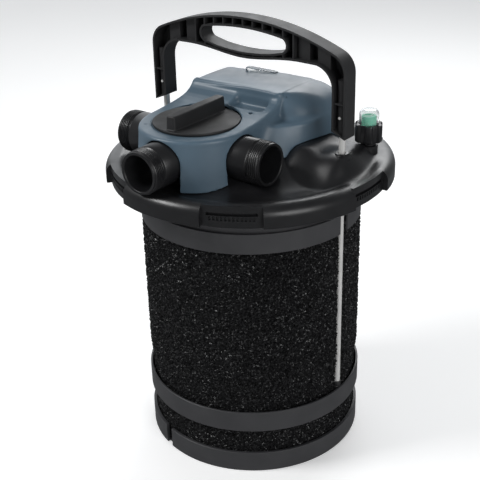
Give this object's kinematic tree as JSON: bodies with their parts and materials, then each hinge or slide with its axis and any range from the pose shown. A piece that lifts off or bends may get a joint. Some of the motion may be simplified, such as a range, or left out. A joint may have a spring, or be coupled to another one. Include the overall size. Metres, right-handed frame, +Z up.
{
  "type": "pressurized pond filter",
  "caption": "Round pond filter head with threaded hose ports, turning valve, lifting handle and indicator, on a black foam cartridge held by steel rods.",
  "frame": {"origin": "centre of the underside of the base ring, on the cartridge's axis", "axes": "+Z up along the cartridge's axis, -Y to the front hose port, the carrying handle spans X"},
  "size_m": [0.4054, 0.4163, 0.64],
  "materials": {
    "satin_black": "satin",
    "black": "semi-gloss",
    "blue_grey": "satin",
    "foam": "open-cell foam",
    "steel": "polished",
    "rubber": "matt",
    "clear": "clear",
    "green": "satin",
    "white": "satin"
  },
  "bodies": {
    "head": {"base_ring": "satin_black", "base_lock_ring": "satin_black", "center_tube": "satin_black", "top_collar": "satin_black", "ballast_box": "satin_black", "sleeve_mount": "satin_black", "lid": "black", "valve_body": "black", "rod_gland_left": "black", "rod_gland_right": "black", "quartz_clamp_nut": "black", "indicator_base": "black", "indicator_nut": "black", "cable_gland": "black", "head_cover": "blue_grey", "lower_foam": "foam", "upper_foam": "foam", "cover_screw": "steel", "indicator_spring": "steel", "lid_o_ring": "rubber", "rod_seal_left": "rubber", "rod_seal_right": "rubber", "valve_gasket": "rubber", "shaft_seal": "rubber", "quartz_seal": "rubber", "uv_window": "clear", "indicator_dome": "clear", "quartz_sleeve": "clear", "uvc_lamp": "white", "lamp_socket": "white"},
    "lifter": {"handle": "satin_black", "rod_left": "steel", "rod_right": "steel", "rod_nut_left": "steel", "rod_nut_right": "steel", "handle_pin_left": "steel", "handle_pin_right": "steel", "pressing_tray": "satin_black"},
    "valve": {"knob": "satin_black", "valve_shaft": "white", "valve_rotor": "white"},
    "float": {"indicator_float": "green"}
  },
  "joints": [
    {"name": "handle_lift", "type": "slide", "parent": "head", "child": "lifter", "axis": [0, 0, 1], "range_m": [0, 0.12], "stiffness_N_per_m": 250, "deforming": ["upper_foam"]},
    {"name": "valve_turn", "type": "hinge", "parent": "head", "child": "valve", "pos_m": [-0.023, -0.088, 0.474], "axis": [0, 0, 1], "range_deg": [0, 90]},
    {"name": "indicator_rise", "type": "slide", "parent": "head", "child": "float", "axis": [0, 0, 1], "range_m": [0, 0.005]}
  ]
}
